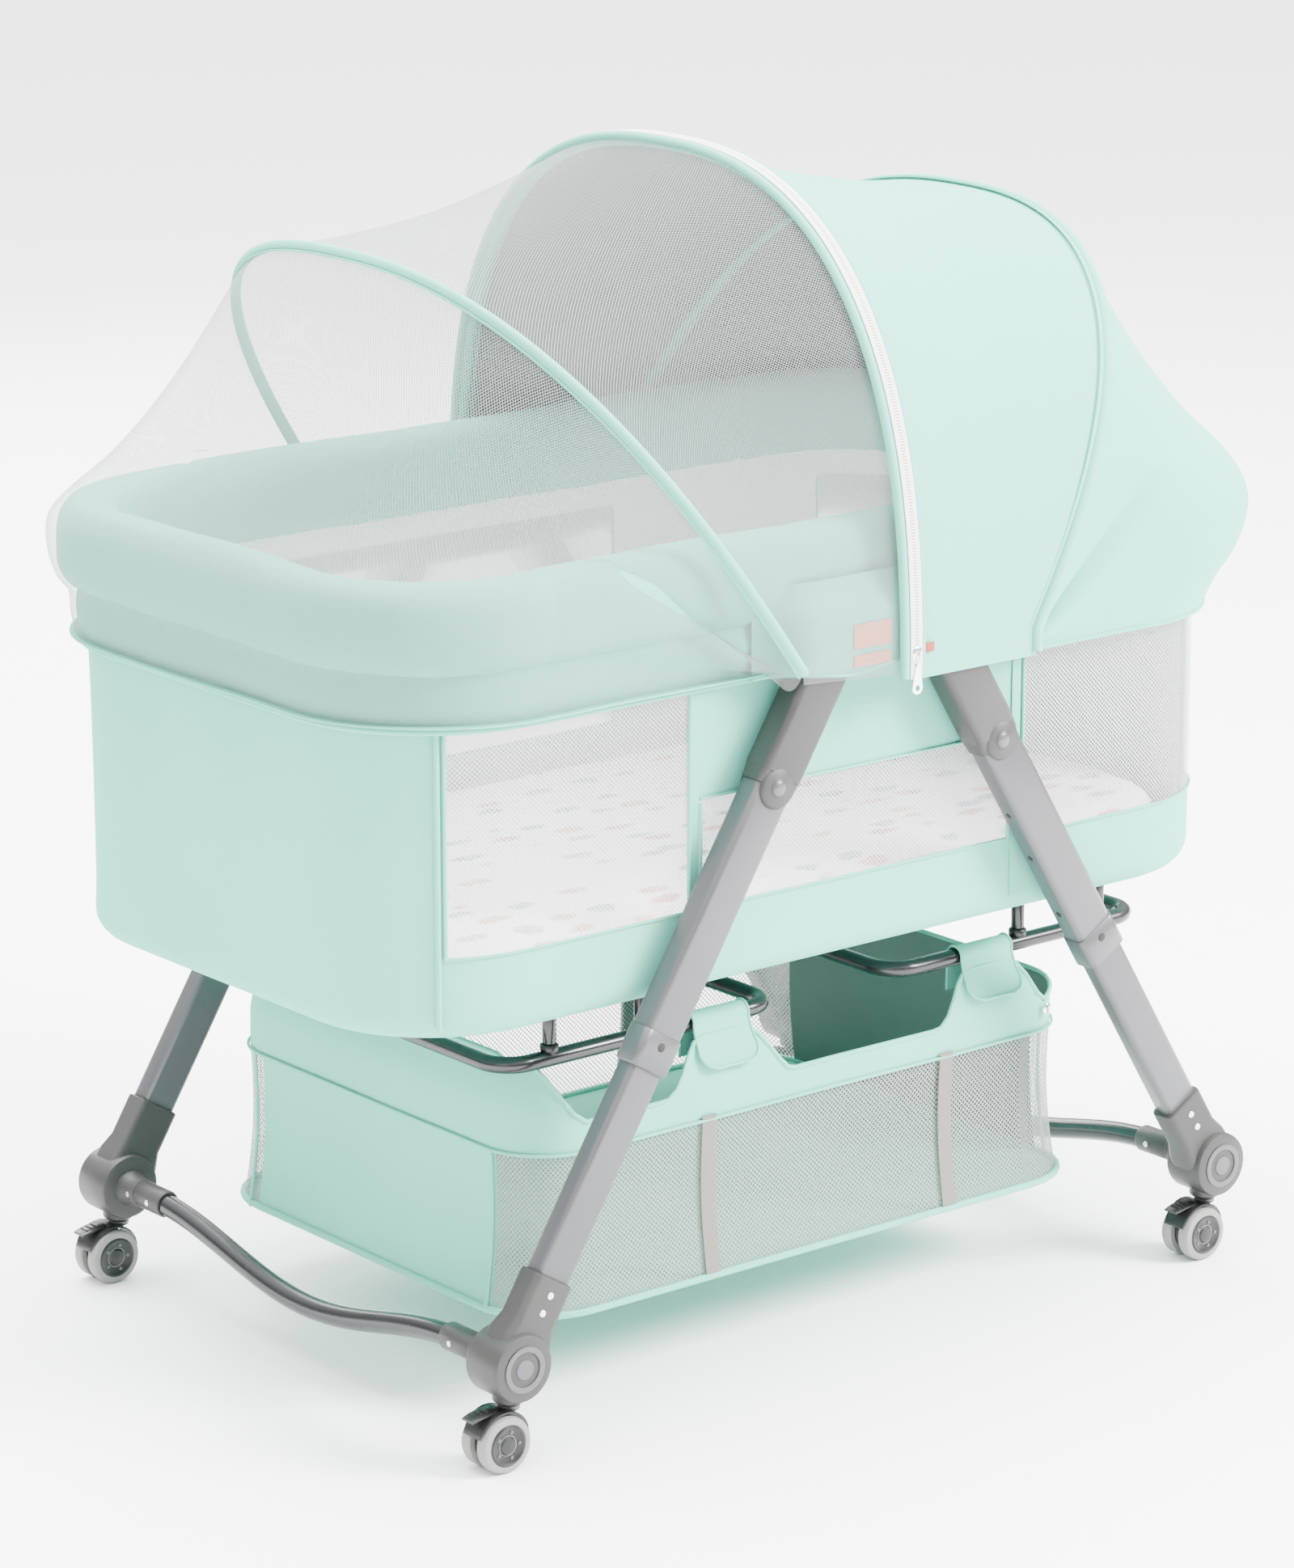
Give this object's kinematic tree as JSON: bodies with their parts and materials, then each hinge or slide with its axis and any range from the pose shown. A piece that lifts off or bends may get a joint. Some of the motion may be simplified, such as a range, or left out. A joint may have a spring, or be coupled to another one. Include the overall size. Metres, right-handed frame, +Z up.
{
  "type": "bassinet on stand",
  "caption": "Fabric bassinet with padded rim, hood and insect net on two folding height-adjustable A-frame legs with rocker bars, swivel casters and a storage basket.",
  "frame": {"origin": "on the floor under the middle of the object", "axes": "+X toward the head end (hood), -Y the near side, +Z up"},
  "size_m": [1.076, 0.635, 1.0454],
  "materials": {
    "mint_fabric": "fine plain-weave polyester, mint green",
    "mattress_cover": "white cotton with a small pastel print",
    "net": "fine white mesh",
    "board": "hardboard",
    "dark_steel": "dark grey gloss",
    "grey_steel": "silver grey satin",
    "zip_metal": "bright",
    "grey_plastic": "satin moulded",
    "black_plastic": "satin moulded",
    "wheel": "light grey tread, dark caps"
  },
  "bodies": {
    "crib": {"crib_shell": "mint_fabric", "base_board": "board", "mattress": "mattress_cover", "rim_pad": "mint_fabric", "rim_tube": "dark_steel", "hub_near": "grey_plastic", "hub_far": "grey_plastic", "frame_loop_front": "dark_steel", "frame_loop_rear": "dark_steel", "basket": "mint_fabric", "basket_strap_front_near": "mint_fabric", "basket_strap_front_far": "mint_fabric", "basket_strap_rear_near": "mint_fabric", "basket_strap_rear_far": "mint_fabric", "rear_bow": "mint_fabric", "hood_canopy": "mint_fabric", "hood_tail": "mint_fabric"},
    "hood": {"main_bow": "mint_fabric", "net_middle": "net", "zip_pull": "zip_metal"},
    "net": {"net_bow": "mint_fabric", "net_front": "net"},
    "front_legs": {"arm_front_near": "grey_plastic", "tube_front_near": "grey_steel", "arm_front_far": "grey_plastic", "tube_front_far": "grey_steel"},
    "front_feet": {"rocker_bar_front": "grey_steel", "lower_tube_front_near": "grey_steel", "foot_front_near": "grey_plastic", "lower_tube_front_far": "grey_steel", "foot_front_far": "grey_plastic"},
    "leg_button_front_near": {"leg_button_front_near": "grey_steel"},
    "height_pin_front_near": {"height_pin_front_near": "black_plastic"},
    "swivel_front_near": {"caster_body_front_near": "black_plastic"},
    "wheels_front_near": {"caster_wheels_front_near": "wheel"},
    "brake_front_near": {"brake_pedal_front_near": "black_plastic"},
    "leg_button_front_far": {"leg_button_front_far": "grey_steel"},
    "height_pin_front_far": {"height_pin_front_far": "black_plastic"},
    "swivel_front_far": {"caster_body_front_far": "black_plastic"},
    "wheels_front_far": {"caster_wheels_front_far": "wheel"},
    "brake_front_far": {"brake_pedal_front_far": "black_plastic"},
    "rear_legs": {"arm_rear_near": "grey_plastic", "tube_rear_near": "grey_steel", "arm_rear_far": "grey_plastic", "tube_rear_far": "grey_steel"},
    "rear_feet": {"rocker_bar_rear": "grey_steel", "lower_tube_rear_near": "grey_steel", "foot_rear_near": "grey_plastic", "lower_tube_rear_far": "grey_steel", "foot_rear_far": "grey_plastic"},
    "leg_button_rear_near": {"leg_button_rear_near": "grey_steel"},
    "height_pin_rear_near": {"height_pin_rear_near": "black_plastic"},
    "swivel_rear_near": {"caster_body_rear_near": "black_plastic"},
    "wheels_rear_near": {"caster_wheels_rear_near": "wheel"},
    "brake_rear_near": {"brake_pedal_rear_near": "black_plastic"},
    "leg_button_rear_far": {"leg_button_rear_far": "grey_steel"},
    "height_pin_rear_far": {"height_pin_rear_far": "black_plastic"},
    "swivel_rear_far": {"caster_body_rear_far": "black_plastic"},
    "wheels_rear_far": {"caster_wheels_rear_far": "wheel"},
    "brake_rear_far": {"brake_pedal_rear_far": "black_plastic"}
  },
  "joints": [
    {"name": "hood_fold", "type": "hinge", "parent": "crib", "child": "hood", "pos_m": [0.008, 0, 0.64], "axis": [0, 1, 0], "range_deg": [0, 25], "deforming": ["hood_canopy", "hood_tail", "net_front", "net_middle"]},
    {"name": "net_fold", "type": "hinge", "parent": "hood", "child": "net", "pos_m": [0.008, 0, 0.64], "axis": [0, 1, 0], "range_deg": [0, 30], "deforming": ["net_middle", "net_front"]},
    {"name": "front_leg_fold", "type": "hinge", "parent": "crib", "child": "front_legs", "pos_m": [-0.062, 0, 0.655], "axis": [0, 1, 0], "range_deg": [0, 25]},
    {"name": "front_height", "type": "slide", "parent": "front_legs", "child": "front_feet", "axis": [0.5267, 0, 0.85], "range_m": [0, 0.086]},
    {"name": "leg_button_front_near", "type": "slide", "parent": "front_legs", "child": "leg_button_front_near", "axis": [0, 1, 0], "range_m": [0, 0.003], "stiffness_N_per_m": 800, "springref_m": -0.002},
    {"name": "height_pin_front_near", "type": "slide", "parent": "front_feet", "child": "height_pin_front_near", "axis": [0, -1, 0], "range_m": [0, 0.002]},
    {"name": "caster_swivel_front_near", "type": "hinge", "parent": "front_feet", "child": "swivel_front_near", "pos_m": [-0.4115, -0.293, 0.05], "axis": [0, 0, 1], "continuous": true},
    {"name": "caster_roll_front_near", "type": "hinge", "parent": "swivel_front_near", "child": "wheels_front_near", "pos_m": [-0.4255, -0.293, 0.025], "axis": [0, 1, 0], "continuous": true},
    {"name": "caster_brake_front_near", "type": "hinge", "parent": "swivel_front_near", "child": "brake_front_near", "pos_m": [-0.4315, -0.293, 0.052], "axis": [0, -1, 0], "range_deg": [0, 20]},
    {"name": "leg_button_front_far", "type": "slide", "parent": "front_legs", "child": "leg_button_front_far", "axis": [0, -1, 0], "range_m": [0, 0.003], "stiffness_N_per_m": 800, "springref_m": -0.002},
    {"name": "height_pin_front_far", "type": "slide", "parent": "front_feet", "child": "height_pin_front_far", "axis": [0, 1, 0], "range_m": [0, 0.002]},
    {"name": "caster_swivel_front_far", "type": "hinge", "parent": "front_feet", "child": "swivel_front_far", "pos_m": [-0.4115, 0.293, 0.05], "axis": [0, 0, 1], "continuous": true},
    {"name": "caster_roll_front_far", "type": "hinge", "parent": "swivel_front_far", "child": "wheels_front_far", "pos_m": [-0.4255, 0.293, 0.025], "axis": [0, 1, 0], "continuous": true},
    {"name": "caster_brake_front_far", "type": "hinge", "parent": "swivel_front_far", "child": "brake_front_far", "pos_m": [-0.4315, 0.293, 0.052], "axis": [0, -1, 0], "range_deg": [0, 20]},
    {"name": "rear_leg_fold", "type": "hinge", "parent": "crib", "child": "rear_legs", "pos_m": [0.056, 0, 0.655], "axis": [0, -1, 0], "range_deg": [0, 25]},
    {"name": "rear_height", "type": "slide", "parent": "rear_legs", "child": "rear_feet", "axis": [-0.5267, 0, 0.85], "range_m": [0, 0.086]},
    {"name": "leg_button_rear_near", "type": "slide", "parent": "rear_legs", "child": "leg_button_rear_near", "axis": [0, 1, 0], "range_m": [0, 0.003], "stiffness_N_per_m": 800, "springref_m": -0.002},
    {"name": "height_pin_rear_near", "type": "slide", "parent": "rear_feet", "child": "height_pin_rear_near", "axis": [0, -1, 0], "range_m": [0, 0.002]},
    {"name": "caster_swivel_rear_near", "type": "hinge", "parent": "rear_feet", "child": "swivel_rear_near", "pos_m": [0.4055, -0.293, 0.05], "axis": [0, 0, 1], "continuous": true},
    {"name": "caster_roll_rear_near", "type": "hinge", "parent": "swivel_rear_near", "child": "wheels_rear_near", "pos_m": [0.3915, -0.293, 0.025], "axis": [0, 1, 0], "continuous": true},
    {"name": "caster_brake_rear_near", "type": "hinge", "parent": "swivel_rear_near", "child": "brake_rear_near", "pos_m": [0.3855, -0.293, 0.052], "axis": [0, -1, 0], "range_deg": [0, 20]},
    {"name": "leg_button_rear_far", "type": "slide", "parent": "rear_legs", "child": "leg_button_rear_far", "axis": [0, -1, 0], "range_m": [0, 0.003], "stiffness_N_per_m": 800, "springref_m": -0.002},
    {"name": "height_pin_rear_far", "type": "slide", "parent": "rear_feet", "child": "height_pin_rear_far", "axis": [0, 1, 0], "range_m": [0, 0.002]},
    {"name": "caster_swivel_rear_far", "type": "hinge", "parent": "rear_feet", "child": "swivel_rear_far", "pos_m": [0.4055, 0.293, 0.05], "axis": [0, 0, 1], "continuous": true},
    {"name": "caster_roll_rear_far", "type": "hinge", "parent": "swivel_rear_far", "child": "wheels_rear_far", "pos_m": [0.3915, 0.293, 0.025], "axis": [0, 1, 0], "continuous": true},
    {"name": "caster_brake_rear_far", "type": "hinge", "parent": "swivel_rear_far", "child": "brake_rear_far", "pos_m": [0.3855, 0.293, 0.052], "axis": [0, -1, 0], "range_deg": [0, 20]}
  ],
  "couplings": [
    {"joint": "rear_height", "follows": "front_height", "ratio": 1}
  ]
}
